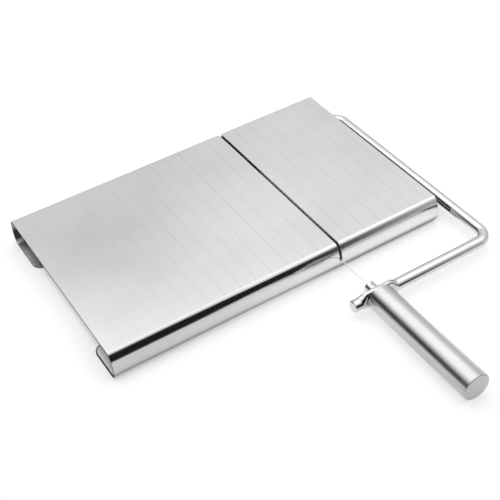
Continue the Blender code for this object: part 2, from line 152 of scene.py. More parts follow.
# %% A node tree that can be written as expressions
class Signal:
    """One output of a node, on which Python's operators add Math nodes."""

    def __init__(self, graph, socket):
        self.graph = graph
        self.socket = socket

    def maths(self, operation, *terms):
        return self.graph.node("ShaderNodeMath", {"operation": operation}, dict(enumerate(terms)))

    def __add__(self, other):
        return self.maths("ADD", self, other)

    def __radd__(self, other):
        return self.maths("ADD", other, self)

    def __sub__(self, other):
        return self.maths("SUBTRACT", self, other)

    def __rsub__(self, other):
        return self.maths("SUBTRACT", other, self)

    def __mul__(self, other):
        return self.maths("MULTIPLY", self, other)

    def __truediv__(self, other):
        return self.maths("DIVIDE", self, other)

    def __gt__(self, other):
        return self.maths("GREATER_THAN", self, other)

    def __lt__(self, other):
        return self.maths("LESS_THAN", self, other)

    def __abs__(self):
        return self.maths("ABSOLUTE", self)

    def fraction(self):
        return self.maths("FRACT", self)

    def larger(self, other):
        return self.maths("MAXIMUM", self, other)


class Graph:
    """The node tree of a material or of the world."""

    def __init__(self, owner):
        owner.use_nodes = True
        self.tree = owner.node_tree
        self.tree.nodes.clear()

    def node(self, kind, settings=None, inputs=None, output=0):
        """Add a node: its settings first, then the values or links of its sockets."""
        added = self.tree.nodes.new(kind)
        for name, value in (settings or {}).items():
            setattr(added, name, value)
        for name, value in (inputs or {}).items():
            if isinstance(value, Signal):
                self.tree.links.new(value.socket, added.inputs[name])
            else:
                added.inputs[name].default_value = value
        return Signal(self, added.outputs[output]) if added.outputs else None

    def ease(self, value, low, high):
        """0 below low, 1 above high, and a smooth step between them."""
        return self.node("ShaderNodeMapRange", {"interpolation_type": "SMOOTHSTEP"},
                         {"Value": value, "From Min": low, "From Max": high})

    def between(self, factor, first, second):
        """A number that runs from the first to the second as the factor runs from 0 to 1."""
        return self.node("ShaderNodeMapRange", None,
                         {"Value": factor, "To Min": first, "To Max": second})

    def blend(self, factor, first, second):
        """A colour that runs from the first to the second, each a link or four numbers."""
        return self.node("ShaderNodeMix", {"data_type": "RGBA"},
                         {0: factor, 6: first, 7: second}, output=2)

    def tint(self, factor, first, second):
        """The same for two colours that are given as red, green and blue."""
        return self.blend(factor, (*first, 1.0), (*second, 1.0))


print("shader helpers are ready")

# %% [markdown]
# ## What all the metals share
# Steel that has been rolled, drawn or turned carries fine lines in the direction of the work. Here
# such a grain is a noise texture that is stretched: short across the lines and long along them. It
# is read in object coordinates, so it sits still on a piece while the piece moves. The grain varies
# the roughness and lifts a slight relief, and a slower noise leaves the soft clouds that hands and
# cloths leave on steel.

# %% Grain, clouds and a metal that wears them
MILLIMETRE = 0.001
NOISE_SPREAD = (0.3, 0.7)
CLOUD_ROUGHNESS = 0.04
WHITE = (1.0, 1.0, 1.0, 1.0)


def millimetres(*lengths):
    """Lengths given in millimetres, as metres."""
    return tuple(length * MILLIMETRE for length in lengths)


def new_material(name):
    """Start a material and return it with its graph."""
    material = bpy.data.materials.new(name)
    return material, Graph(material)


def places(graph):
    """Where a point of the surface lies, in the object's own coordinates."""
    return graph.node("ShaderNodeTexCoord", output="Object")


def split_place(graph, where):
    """The three coordinates of a place."""
    return [graph.node("ShaderNodeSeparateXYZ", None, {"Vector": where}, output=axis)
            for axis in range(3)]


def stretched_noise(graph, where, lengths, detail=2.0):
    """Noise whose features have these lengths along x, y and z, from 0 to 1."""
    per_metre = tuple(1 / length for length in lengths)
    scaled = graph.node("ShaderNodeVectorMath", {"operation": "MULTIPLY"}, {0: where, 1: per_metre})
    return graph.node("ShaderNodeTexNoise", None,
                      {"Vector": scaled, "Scale": 1.0, "Detail": detail}, output="Fac")


def finish_metal(graph, colour, roughness, relief, height):
    """Join colour, roughness and relief into one metal."""
    bump = graph.node("ShaderNodeBump", None,
                      {"Height": relief, "Strength": 1.0, "Distance": height})
    metal = graph.node("ShaderNodeBsdfPrincipled", None,
                       {"Base Color": colour, "Roughness": roughness, "Metallic": 1.0, "Normal": bump})
    graph.node("ShaderNodeOutputMaterial", None, {"Surface": metal})


print("a grain is a noise stretched along the lines of the work")

# %% [markdown]
# ## The finish of the board
# The board is one sheet of steel, brushed along its length before it was folded. Thin marks cross
# the flat top every ten millimetres or so, to help judge the thickness of a slice. They are etched,
# a little darker than the sheet and too shallow to feel, and they fade towards the left end. A
# formula draws them: the distance along the board is divided by the pitch, and what lies near a
# whole number is a mark.

# %% Slice marks across the top
MARK_WIDTH = 0.00055
MARK_SOFTNESS = 0.00028
MARK_END_MARGIN = 0.0052
MARK_STRENGTHS = (0.05, 0.15)
MARK_COLOUR = (0.30, 0.31, 0.30, 1.0)
LEFT_MARK_START = 0.0107
LEFT_MARK_PITCH = 0.01002
LEFT_MARK_COUNT = 13
RIGHT_MARK_START = 0.0093
RIGHT_MARK_PITCH = 0.01094
RIGHT_MARK_COUNT = 6


def mark_row(graph, distance, start, pitch, count):
    """A row of thin marks that cross the sheet, as a mask."""
    step = (distance - start) / pitch
    offset = abs((step + 0.5).fraction() - 0.5) * pitch
    half_width = MARK_WIDTH / 2
    line = 1 - graph.ease(offset, half_width, half_width + MARK_SOFTNESS)
    return line * (step > -0.5) * (step < count - 0.5)


def slice_marks(graph, where):
    """The marks left and right of the slot, on the flat top alone."""
    x, y, z = split_place(graph, where)
    left_row = mark_row(graph, x - board_low.x, LEFT_MARK_START, LEFT_MARK_PITCH, LEFT_MARK_COUNT)
    right_row = mark_row(graph, x - wire_x, RIGHT_MARK_START, RIGHT_MARK_PITCH, RIGHT_MARK_COUNT)
    on_top = z > board_height - MARK_WIDTH
    reach = board_width / 2 - MARK_END_MARGIN
    inside = abs(y - board_middle.y) < reach
    strength = graph.between(graph.ease(x, board_low.x, board_middle.x), *MARK_STRENGTHS)
    return (left_row + right_row) * on_top * inside * strength


print("marks left of the slot:", LEFT_MARK_COUNT, "and right of it:", RIGHT_MARK_COUNT)

# %% [markdown]
# ## Inside the fold and along its edges
# The inside of the sheet is duller than the outside. Its colour there is painted light and shade: pale
# at the open ends of the board, a painted shade further in, and a painted dark band low on the walls
# near the ends. The cut ends, the feet's edges and a thin rim round the front foot are painted dark, a
# painted shade. So is the lowest part of each wall, most at the left end.

# %% Inside of the fold, painted light and shade
# The inside's colour is painted light at the open ends and painted shade further in.
FOLD_PAINTED_LIGHT = (0.95, 0.96, 0.95)
FOLD_PAINTED_SHADE = (0.36, 0.365, 0.36)
FOLD_FADE_DEPTH = 0.009
FOLD_END_BAND = (0.03, 0.06)
FOLD_MIDDLE_SHADE_SHARE = 0.75
# A painted shade: a dark band low on the inner walls near the ends.
WALL_BAND_FOOT = (0.0012, 0.003)
WALL_BAND_TOP = (0.008, 0.013)
WALL_BAND_SHADE = 0.95
PAINTED_WALL_BAND_COLOUR = (0.04, 0.04, 0.04, 1.0)


def from_end(x):
    """How far a place lies from the nearer end of the board."""
    return board_length / 2 - abs(x - board_middle.x)


def fold_painted_light_and_shade(graph, where):
    """Painted light and shade: pale at the open ends, darker further in, and a dark band low on the walls
    near the ends.
    """
    x, _, z = split_place(graph, where)
    near_end = 1 - graph.ease(from_end(x), *FOLD_END_BAND)
    painted_shade = graph.ease(from_end(x), 0.0, FOLD_FADE_DEPTH) * graph.between(near_end, FOLD_MIDDLE_SHADE_SHARE, 1.0)
    painted_inside = graph.tint(painted_shade, FOLD_PAINTED_LIGHT, FOLD_PAINTED_SHADE)
    painted_wall_band = graph.ease(z, *WALL_BAND_FOOT) * (1 - graph.ease(z, *WALL_BAND_TOP))
    return graph.blend(painted_wall_band * near_end * WALL_BAND_SHADE, painted_inside, PAINTED_WALL_BAND_COLOUR)


print("the inside dims over the first %.0f mm" % (FOLD_FADE_DEPTH * 1000))

# %% Painted shade on the cut edges, the front foot's rim and the lowest part of the walls
# The cut edges and the foot's rim are painted near black, a painted shade. They are also rougher.
CUT_EDGE_SHADE_COLOUR = (0.09, 0.09, 0.09, 1.0)
CUT_EDGE_DEPTH = 0.0001
RIM_WIDTH = 0.0007
RIM_HEIGHT = 0.0015
RIM_OVERRUN = 0.001
# The lowest part of each wall is painted darker, a painted shade.
LOW_LINE_SHADE_COLOUR = (0.12, 0.12, 0.12, 1.0)
LOW_LINE_BAND = (0.0024, 0.0046)
LOW_LINE_LEFT_MARGIN = 0.02
LOW_LINE_RIGHT_SHARE = 0.35
UPRIGHT_LIMIT = 0.5


def inside_and_cut_edges(graph, where):
    """Which faces look into the folded sheet, and which are its cut ends and edges."""
    x, y, z = split_place(graph, where)
    _, across, up = split_place(graph, graph.node("ShaderNodeTexCoord", output="Normal"))
    inner = ((y - board_middle.y) * across + (z - board_height / 2) * up) < 0.0
    at_end = from_end(x) < CUT_EDGE_DEPTH
    on_foot = (z < SHEET_THICKNESS) * (abs(y - board_middle.y) < board_width / 2 - FOOT_BEND_RADIUS)
    return inner, at_end.larger(on_foot * (abs(up) < UPRIGHT_LIMIT))


def foot_rim_shade(graph, where):
    """A painted shade: a thin dark rim along the front foot's edge and its rounded corners."""
    x, y, z = split_place(graph, where)
    from_edge = board_low.y + FRONT_FOOT_WIDTH - y
    end_short = (FOOT_CORNER_RADIUS - from_end(x)).larger(0.0)
    edge_short = (FOOT_CORNER_RADIUS - from_edge).larger(0.0)
    reach = FOOT_CORNER_RADIUS - RIM_WIDTH
    past = (end_short * end_short + edge_short * edge_short) > reach * reach
    return past * (z < RIM_HEIGHT) * (from_edge > -RIM_OVERRUN)


def low_wall_shade(graph, where):
    """Painted shade on the lowest part of each wall, fading to the right."""
    x, _, z = split_place(graph, where)
    to_right = graph.ease(x, board_low.x + LOW_LINE_LEFT_MARGIN, wire_x)
    return (1 - graph.ease(z, *LOW_LINE_BAND)) * graph.between(to_right, 1.0, LOW_LINE_RIGHT_SHARE)


print("the front foot's rim is %.1f mm wide" % (RIM_WIDTH * 1000))

# %% Brushed sheet
SHEET_DARKER = (0.585, 0.598, 0.584)
SHEET_LIGHTER = (0.635, 0.648, 0.634)
SHEET_CLOUD_SHARE = 0.85
BEND_ROUGHNESS = 0.09
TOP_ROUGHNESS = 0.19
INNER_ROUGHNESS = 0.28
CUT_EDGE_ROUGHNESS = 0.2
LINE_ROUGHNESS = 0.03
BAND_RELIEF = 0.12
SHEET_RELIEF = 0.000001


def brushed_sheet():
    material, graph = new_material("brushed_sheet")
    where = places(graph)
    lines = stretched_noise(graph, where, millimetres(14, 0.22, 0.22))
    bands = stretched_noise(graph, where, millimetres(90, 0.7, 0.7))
    clouds = stretched_noise(graph, where, millimetres(60, 45, 45))
    inner, cut_edges = inside_and_cut_edges(graph, where)
    shaded_edges = cut_edges.larger(foot_rim_shade(graph, where))
    shade = graph.ease(bands * (1 - SHEET_CLOUD_SHARE) + clouds * SHEET_CLOUD_SHARE, *NOISE_SPREAD)
    outside = graph.tint(shade, SHEET_DARKER, SHEET_LIGHTER)
    # Painted shade low on the walls.
    outside = graph.blend(low_wall_shade(graph, where), outside, LOW_LINE_SHADE_COLOUR)
    # Inside the fold, painted light and shade replace the brushed colour.
    colour = graph.blend(inner, outside, fold_painted_light_and_shade(graph, where))
    colour = graph.blend(slice_marks(graph, where), colour, MARK_COLOUR)
    # Painted shade on the cut edges and the front foot's rim.
    colour = graph.blend(shaded_edges, colour, CUT_EDGE_SHADE_COLOUR)
    height = split_place(graph, where)[2]
    on_top = graph.ease(height, board_height - TOP_BEND_RADIUS, board_height)
    roughness = graph.between(on_top, BEND_ROUGHNESS, TOP_ROUGHNESS) + lines * LINE_ROUGHNESS
    roughness = roughness + clouds * CLOUD_ROUGHNESS + inner * INNER_ROUGHNESS
    roughness = roughness + shaded_edges * CUT_EDGE_ROUGHNESS
    finish_metal(graph, colour, roughness, lines + bands * BAND_RELIEF, SHEET_RELIEF)
    return material


brushed_sheet_material = brushed_sheet()
print("sheet:", brushed_sheet_material.name)

# %% [markdown]
# ## The finishes of the rod, the handle and the small pieces
# The bow is a polished rod, nearly a mirror, with slight ripples from its drawing. The handle is
# turned, so its lines run round it: the noise is short along Y and long across it. The wire is
# drawn and bright. The push-on rings are spring steel, dark and oiled, and the barrels and the
# threaded insert are brass.

# %% Polished rod
ROD_DARKER = (0.585, 0.588, 0.586)
ROD_LIGHTER = (0.625, 0.628, 0.625)
ROD_ROUGHNESS = 0.035
SCUFF_ROUGHNESS = 0.05
SCUFF_BAND = (0.45, 0.8)
SCUFF_RELIEF = 0.1
ROD_RELIEF = 0.00003


def polished_rod():
    material, graph = new_material("polished_rod")
    where = places(graph)
    ripple = stretched_noise(graph, where, millimetres(7, 7, 5))
    scuffs = stretched_noise(graph, where, millimetres(2.2, 0.4, 0.4), detail=3.0)
    colour = graph.tint(graph.ease(ripple, *NOISE_SPREAD), ROD_DARKER, ROD_LIGHTER)
    roughness = ROD_ROUGHNESS + graph.ease(scuffs, *SCUFF_BAND) * SCUFF_ROUGHNESS
    finish_metal(graph, colour, roughness, ripple + scuffs * SCUFF_RELIEF, ROD_RELIEF)
    return material


polished_rod_material = polished_rod()
print("polished rod:", polished_rod_material.name)

# %% Turned handle and stud
LATHE_ROUGHNESS = 0.05
LATHE_RELIEF = 0.6
TURNED_RELIEF = 0.000003


def turned_steel(name, darker, lighter, roughness_base):
    """Steel whose fine lines run round an axis along Y."""
    material, graph = new_material(name)
    where = places(graph)
    lathe_lines = stretched_noise(graph, where, millimetres(30, 0.18, 30))
    bands = stretched_noise(graph, where, millimetres(30, 1.6, 30))
    clouds = stretched_noise(graph, where, millimetres(9, 14, 9))
    shade = graph.ease(bands * 0.5 + clouds * 0.5, *NOISE_SPREAD)
    colour = graph.tint(shade, darker, lighter)
    roughness = roughness_base + lathe_lines * LATHE_ROUGHNESS + clouds * CLOUD_ROUGHNESS
    finish_metal(graph, colour, roughness, lathe_lines * LATHE_RELIEF + bands, TURNED_RELIEF)
    return material


satin_handle_material = turned_steel("satin_handle", (0.545, 0.547, 0.549), (0.575, 0.577, 0.579), 0.21)
turned_stud_material = turned_steel("turned_stud", (0.590, 0.592, 0.592), (0.640, 0.642, 0.642), 0.10)
print("turned pieces:", satin_handle_material.name, turned_stud_material.name)

# %% Drawn wire
WIRE_DARKER = (0.80, 0.805, 0.805)
WIRE_LIGHTER = (0.88, 0.885, 0.885)
WIRE_ROUGHNESS = 0.20
WIRE_CLOUD_ROUGHNESS = 0.1
WIRE_RELIEF = 0.000002


def drawn_wire():
    material, graph = new_material("drawn_wire")
    where = places(graph)
    draw_lines = stretched_noise(graph, where, millimetres(0.06, 20, 0.06))
    clouds = stretched_noise(graph, where, millimetres(4, 7, 4))
    colour = graph.tint(clouds, WIRE_DARKER, WIRE_LIGHTER)
    roughness = WIRE_ROUGHNESS + clouds * WIRE_CLOUD_ROUGHNESS
    finish_metal(graph, colour, roughness, draw_lines, WIRE_RELIEF)
    return material


drawn_wire_material = drawn_wire()
print("wire:", drawn_wire_material.name)

# %% Lugs, rings and brass
PLAIN_CLOUD_SHARE = 0.6
PLAIN_GRAIN_RELIEF = 0.4
PLAIN_RELIEF = 0.00001


def plain_metal(name, darker, lighter, roughness_low, roughness_high, grain_lengths):
    """A metal with one grain and soft clouds, for pieces that hardly show."""
    material, graph = new_material(name)
    where = places(graph)
    grain = stretched_noise(graph, where, grain_lengths)
    clouds = stretched_noise(graph, where, millimetres(5, 5, 5), detail=4.0)
    shade = graph.ease(grain * (1 - PLAIN_CLOUD_SHARE) + clouds * PLAIN_CLOUD_SHARE, *NOISE_SPREAD)
    colour = graph.tint(shade, darker, lighter)
    roughness = graph.between(graph.ease(clouds, *NOISE_SPREAD), roughness_low, roughness_high)
    finish_metal(graph, colour, roughness, grain * PLAIN_GRAIN_RELIEF + clouds, PLAIN_RELIEF)
    return material


MILLED = millimetres(0.25, 8, 8)
TURNED_ROUND_X = millimetres(0.15, 6, 6)
TURNED_ROUND_Y = millimetres(6, 0.15, 6)
pressed_lug_material = plain_metal("pressed_lug", (0.52, 0.53, 0.52), (0.62, 0.63, 0.62),
                                   0.26, 0.38, MILLED)
spring_ring_material = plain_metal("spring_ring", (0.24, 0.24, 0.25), (0.38, 0.38, 0.39),
                                   0.30, 0.46, TURNED_ROUND_X)
brass_material = plain_metal("turned_brass", (0.60, 0.44, 0.20), (0.78, 0.61, 0.31),
                             0.22, 0.36, TURNED_ROUND_Y)
print("small pieces:", pressed_lug_material.name, spring_ring_material.name, brass_material.name)

# %% [markdown]
# ## Helpers that make the meshes
# Four small tools make every piece here. `grid_mesh` joins rows of points with faces, which is all
# that a swept rod or a folded sheet needs. `turned_piece` spins a profile with a Screw modifier.
# `cut_away` takes a box or a drill out of a piece with a Boolean modifier. `finish_piece` bakes the
# modifiers into the mesh, rounds its edges if it is given a width, and shades it smooth.

# %% Mesh helpers
WELD = 0.000005
SHARP_ANGLE = math.radians(38)
TURNED_STEPS = 96
DRILL_SIDES = 64
EDGE_SEGMENTS = 2


def link(name, mesh):
    piece = bpy.data.objects.new(name, mesh)
    bpy.context.scene.collection.objects.link(piece)
    return piece


def grid_mesh(name, rows, solid):
    """Join rows of points with faces. In a solid the rows close on themselves and the ends are capped."""
    shape = bmesh.new()
    rings = [[shape.verts.new(point) for point in row] for row in rows]
    count = len(rings[0])
    spans = count if solid else count - 1
    for ring, following in zip(rings, rings[1:]):
        for index in range(spans):
            after = (index + 1) % count
            shape.faces.new((ring[index], ring[after], following[after], following[index]))
    if solid:
        shape.faces.new(list(reversed(rings[0])))
        shape.faces.new(rings[-1])
    bmesh.ops.recalc_face_normals(shape, faces=shape.faces)
    mesh = bpy.data.meshes.new(name)
    shape.to_mesh(mesh)
    shape.free()
    return link(name, mesh)


def turned_piece(name, profile, place, steps=TURNED_STEPS):
    """Spin a profile of (radius, distance to the rear) about an axis that runs along Y."""
    mesh = bpy.data.meshes.new(name)
    shape = bmesh.new()
    corners = [shape.verts.new((radius, 0, rear)) for radius, rear in profile]
    for first, second in zip(corners, corners[1:]):
        shape.edges.new((first, second))
    shape.to_mesh(mesh)
    shape.free()
    piece = link(name, mesh)
    screw = piece.modifiers.new("turning", "SCREW")
    screw.steps = steps
    screw.render_steps = steps
    screw.use_merge_vertices = True
    screw.merge_threshold = WELD
    piece.matrix_world = Matrix.Translation(place) @ Matrix.Rotation(-math.pi / 2, 4, "X")
    return piece


def box_tool(low, high):
    """A box between two corners, to cut with."""
    low, high = Vector(low), Vector(high)
    mesh = bpy.data.meshes.new("box_tool")
    shape = bmesh.new()
    bmesh.ops.create_cube(shape, size=1)
    bmesh.ops.scale(shape, vec=high - low, verts=shape.verts)
    bmesh.ops.translate(shape, vec=(high + low) / 2, verts=shape.verts)
    shape.to_mesh(mesh)
    shape.free()
    return link("box_tool", mesh)


def drill_tool(radius, place, front, rear):
    """A round bar along Y from front to rear, to cut with."""
    mesh = bpy.data.meshes.new("drill_tool")
    shape = bmesh.new()
    bmesh.ops.create_cone(shape, cap_ends=True, segments=DRILL_SIDES, radius1=radius,
                          radius2=radius, depth=rear - front)
    shape.to_mesh(mesh)
    shape.free()
    mesh.transform(Matrix.Translation((place.x, (front + rear) / 2, place.z))
                   @ Matrix.Rotation(math.pi / 2, 4, "X"))
    return link("drill_tool", mesh)


def bake_modifiers(piece):
    """Replace a piece's mesh by what its modifiers make of it, in world coordinates."""
    bpy.context.view_layer.update()
    evaluated = piece.evaluated_get(bpy.context.evaluated_depsgraph_get())
    mesh = bpy.data.meshes.new_from_object(evaluated)
    mesh.transform(piece.matrix_world)
    piece.modifiers.clear()
    piece.data = mesh
    piece.matrix_world = Matrix.Identity(4)
    mesh.name = piece.name


def cut_away(piece, tools):
    """Take the shapes of the tools out of a piece, then throw the tools away."""
    for tool in tools:
        boolean = piece.modifiers.new("cut", "BOOLEAN")
        boolean.operation = "DIFFERENCE"
        boolean.solver = "EXACT"
        boolean.object = tool
    bake_modifiers(piece)
    for tool in tools:
        bpy.data.objects.remove(tool, do_unlink=True)


def finish_piece(piece, material, slot, body, *nodes, edge=0.0):
    """Round the edges, shade smooth, paint, and hang the piece on the body that it moves with."""
    if edge:
        bevel = piece.modifiers.new("edges", "BEVEL")
        bevel.width = edge
        bevel.segments = EDGE_SEGMENTS
        bevel.limit_method = "ANGLE"
        bevel.angle_limit = SHARP_ANGLE
        bake_modifiers(piece)
    mesh = piece.data
    mesh.shade_smooth()
    mesh.set_sharp_from_angle(angle=SHARP_ANGLE)
    weighted = piece.modifiers.new("normals", "WEIGHTED_NORMAL")
    weighted.keep_sharp = True
    bake_modifiers(piece)
    piece.data.materials.clear()
    piece.data.materials.append(material)
    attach(piece, body)
    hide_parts(*nodes)
    print("%s: %d faces, rides on %s" % (piece.name, len(piece.data.polygons), body))


def arc(centre, radius, start, end, steps):
    """Points round part of a circle, from one angle to the other, both ends kept."""
    return [(centre[0] + radius * math.cos(start + (end - start) * step / steps),
             centre[1] + radius * math.sin(start + (end - start) * step / steps))
            for step in range(steps + 1)]


print("mesh helpers are ready")

# %% [markdown]
# ## The folded sheet
# A press brake makes this board from one flat blank: the top stays flat, the long sides are bent
# down in a wide bulging wall, and the edges are turned in as feet. So the model is the middle line
# of that section, drawn as three arcs that meet smoothly on each side, run along the board and then
# thickened to the sheet with Solidify. The slot is cut afterwards, as a slitting saw would.

# %% Middle line of half the section
TOP_BEND_STEPS = 16
WALL_STEPS = 20
FOOT_BEND_STEPS = 28


def half_section(foot_width):
    """From the top's middle round one wall to the foot's edge, as (across, height)."""
    half_sheet = SHEET_THICKNESS / 2
    top_end = math.pi / 2 - TOP_BEND_ANGLE
    wall_centre = (board_width / 2 - WALL_RADIUS,
                   board_height - TOP_BEND_RADIUS - (WALL_RADIUS - TOP_BEND_RADIUS) * math.sin(top_end))
    wall_end = math.asin((FOOT_BEND_RADIUS - wall_centre[1]) / (WALL_RADIUS - FOOT_BEND_RADIUS))
    top_centre = arc(wall_centre, WALL_RADIUS - TOP_BEND_RADIUS, top_end, top_end, 1)[0]
    foot_centre = arc(wall_centre, WALL_RADIUS - FOOT_BEND_RADIUS, wall_end, wall_end, 1)[0]
    points = arc(top_centre, TOP_BEND_RADIUS - half_sheet, math.pi / 2, top_end, TOP_BEND_STEPS)
    points += arc(wall_centre, WALL_RADIUS - half_sheet, top_end, wall_end, WALL_STEPS)[1:]
    points += arc(foot_centre, FOOT_BEND_RADIUS - half_sheet, wall_end, -math.pi / 2,
                  FOOT_BEND_STEPS)[1:]
    points.append((board_width / 2 - foot_width, half_sheet))
    return points


front_half = [(-across, height) for across, height in reversed(half_section(FRONT_FOOT_WIDTH))]
section = front_half + half_section(REAR_FOOT_WIDTH)
blank_width = sum(math.dist(first, second) for first, second in zip(section, section[1:]))
print("flat blank, mm: %.0f x %.0f" % (board_length * 1000, blank_width * 1000))

# %% Sheet with its slot and its rounded foot corners
EDGE_ROUNDING = 0.00018
CUT_OVERRUN = 0.003
FOOT_CORNER_STEPS = 16


def corner_tool(corner_x, corner_y, inward_x, inward_y):
    """A block with a concave round side, which rounds one corner of a foot."""
    radius = FOOT_CORNER_RADIUS
    outline = [(radius, -CUT_OVERRUN), (-CUT_OVERRUN, -CUT_OVERRUN), (-CUT_OVERRUN, radius)]
    outline += arc((radius, radius), radius, math.pi, 1.5 * math.pi, FOOT_CORNER_STEPS)
    rows = [[(corner_x + inward_x * across, corner_y + inward_y * along, height)
             for across, along in outline]
            for height in (-FOOT_BEND_RADIUS, FOOT_BEND_RADIUS)]
    return grid_mesh("corner_tool", rows, solid=True)


def folded_board():
    rows = [[(x, board_middle.y + across, height) for across, height in section]
            for x in (board_low.x, board_high.x)]
    board = grid_mesh("folded_board", rows, solid=False)
    solidify = board.modifiers.new("thickness", "SOLIDIFY")
    solidify.thickness = SHEET_THICKNESS
    solidify.offset = 0
    solidify.use_even_offset = True
    slot_floor = wire_low.z - SEAT_GAP
    top = board_height + CUT_OVERRUN
    tools = [box_tool((wire_x - SLOT_WIDTH / 2, board_low.y - CUT_OVERRUN, slot_floor),
                      (wire_x + SLOT_WIDTH / 2, board_high.y + CUT_OVERRUN, top)),
             box_tool((wire_x - REAR_RELIEF_WIDTH / 2, board_high.y - REAR_RELIEF_REACH, slot_floor),
                      (wire_x + REAR_RELIEF_WIDTH / 2, board_high.y + CUT_OVERRUN, top))]
    foot_edges = ((-1, board_low.y + FRONT_FOOT_WIDTH), (1, board_high.y - REAR_FOOT_WIDTH))
    for inward_x, corner_x in ((1, board_low.x), (-1, board_high.x)):
        for inward_y, corner_y in foot_edges:
            tools.append(corner_tool(corner_x, corner_y, inward_x, inward_y))
    cut_away(board, tools)
    finish_piece(board, brushed_sheet_material, "brushed_steel", "board", "board_plate",
                 edge=EDGE_ROUNDING)


folded_board()

# %% [markdown]
# ## The bow
# The bow is one rod, bent twice, and squeezed flat in a press where the stud goes through. A curve
# with a round bevel would give the rod but not the squeezed eye, so the rod is swept: a ring of
# points is set square to the path at each station. Near the stud the ring's outline slides from
# a circle to a flattened superellipse, thinner front to rear and taller up and down.

# %% Path of the rod
RING_POINTS = 64
END_ROUNDING = 0.0004
ROD_BEND_STEPS = 24
EYE_STATIONS = 64


def bow_stations():
    """Places along the rod as (x, y), from the axle's inner end to the front bar's free end."""
    points = [(bow_low.x, axle_y), (bow_low.x + END_ROUNDING, axle_y)]
    bend_x = arm_x - CORNER_RADIUS
    points += arc((bend_x, axle_y - CORNER_RADIUS), CORNER_RADIUS, math.pi / 2, 0, ROD_BEND_STEPS)
    points += arc((bend_x, bar_y + CORNER_RADIUS), CORNER_RADIUS, 0, -math.pi / 2, ROD_BEND_STEPS)
    reach = EYE_FLAT_LENGTH / 2 + EYE_TAPER_LENGTH
    points += [(wire_x + reach - 2 * reach * station / EYE_STATIONS, bar_y)
               for station in range(EYE_STATIONS + 1)]
    free_end = wire_x - BAR_OVERHANG
    points += [(free_end + END_ROUNDING, bar_y), (free_end, bar_y)]
    return points


def eye_share(x, y):
    """How far the rod is pressed at this station: 0 is round and 1 is the flat eye."""
    if y > bar_y + rod_radius:
        return 0.0
    past_flat = abs(x - wire_x) - EYE_FLAT_LENGTH / 2
    share = 1 - min(max(past_flat / EYE_TAPER_LENGTH, 0), 1)
    return share * share * (3 - 2 * share)


bow_points = bow_stations()
rod_length = sum(math.dist(first, second) for first, second in zip(bow_points, bow_points[1:]))
print("rod, cut length: %.0f mm" % (rod_length * 1000))

# %% Sweep the rod
FLAT_POWER = 4.2


def rod_ring(point, direction, share, shrink):
    """A ring of points square to the path, from round to pressed flat by the share."""
    half_thickness = rod_radius + (EYE_THICKNESS / 2 - rod_radius) * share - shrink
    half_height = rod_radius + (EYE_HEIGHT / 2 - rod_radius) * share - shrink
    power = 2 / (2 + (FLAT_POWER - 2) * share)
    side = Vector((direction[1], -direction[0], 0)).normalized()
    centre = Vector((point[0], point[1], axle_z))
    ring = []
    for index in range(RING_POINTS):
        angle = 2 * math.pi * (index + 0.5) / RING_POINTS
        across = math.copysign(abs(math.cos(angle)) ** power, math.cos(angle)) * half_thickness
        up = math.copysign(abs(math.sin(angle)) ** power, math.sin(angle)) * half_height
        ring.append(centre + side * across + Vector((0, 0, up)))
    return ring


def bow():
    rows = []
    last = len(bow_points) - 1
    for index, point in enumerate(bow_points):
        before = bow_points[max(index - 1, 0)]
        after = bow_points[min(index + 1, last)]
        direction = (after[0] - before[0], after[1] - before[1])
        shrink = END_ROUNDING if index in (0, last) else 0.0
        rows.append(rod_ring(point, direction, eye_share(*point), shrink))
    rod = grid_mesh("bow", rows, solid=True)
    on_axis = Vector((wire_x, 0, axle_z))
    eye_bore = drill_tool(STUD_DIAMETER / 2 + RUNNING_GAP, on_axis, bar_y - rod_radius, bar_y + rod_radius)
    wire_hole = drill_tool(wire_radius + SEAT_GAP, on_axis, axle_y - ROD_DIAMETER, axle_y + ROD_DIAMETER)
    seat = drill_tool(BARREL_DIAMETER / 2 + SEAT_GAP, on_axis, axle_y + REAR_BARREL_SEAT,
                      axle_y + ROD_DIAMETER)
    cut_away(rod, [eye_bore, wire_hole, seat])
    finish_piece(rod, polished_rod_material, "polished_steel", "bow", "bow_rod")


bow()

# %% [markdown]
# ## Handle, stud and wire
# The handle is a thin tube, closed and faced off at its end, and the stud is a slotted head on a
# threaded shank. Both come off a lathe, so both are profiles that a Screw modifier spins. A corner
# of a profile gets a few extra points on a small arc, because a real turned edge is always broken.

# %% Round the corners of a turned profile
BROKEN_EDGE_STEPS = 4


def rounded(profile, radius):
    """Replace each square corner of a profile that lies off the axis by a small arc."""
    points = [Vector(point) for point in profile]
    result = [profile[0]]
    for before, corner, after in zip(points, points[1:], points[2:]):
        to_before = (before - corner).normalized()
        to_after = (after - corner).normalized()
        start = corner + to_before * radius
        end = corner + to_after * radius
        centre = start + end - corner
        for step in range(BROKEN_EDGE_STEPS + 1):
            share = step / BROKEN_EDGE_STEPS
            spoke = (start - centre).lerp(end - centre, share).normalized() * radius
            result.append(tuple(centre + spoke))
    result.append(profile[-1])
    return result


print("an edge that is broken by a small arc catches a thin line of light")

# %% Handle
HANDLE_EDGE = 0.0003
HANDLE_STEPS = 128
grip_radius = (grip_high.x - grip_low.x) / 2
grip_length = grip_high.y - grip_low.y
handle_mouth = Vector((wire_x, grip_high.y, axle_z))


def handle():
    bore = grip_radius - HANDLE_WALL
    bore_end = HANDLE_END_THICKNESS - grip_length
    profile = [(0, bore_end), (bore, bore_end), (bore, 0), (grip_radius, 0),
               (grip_radius, -grip_length), (0, -grip_length)]
    grip = turned_piece("handle", rounded(profile, HANDLE_EDGE), handle_mouth, steps=HANDLE_STEPS)
    bake_modifiers(grip)
    finish_piece(grip, satin_handle_material, "satin_steel", "handle", "handle_grip")


handle()

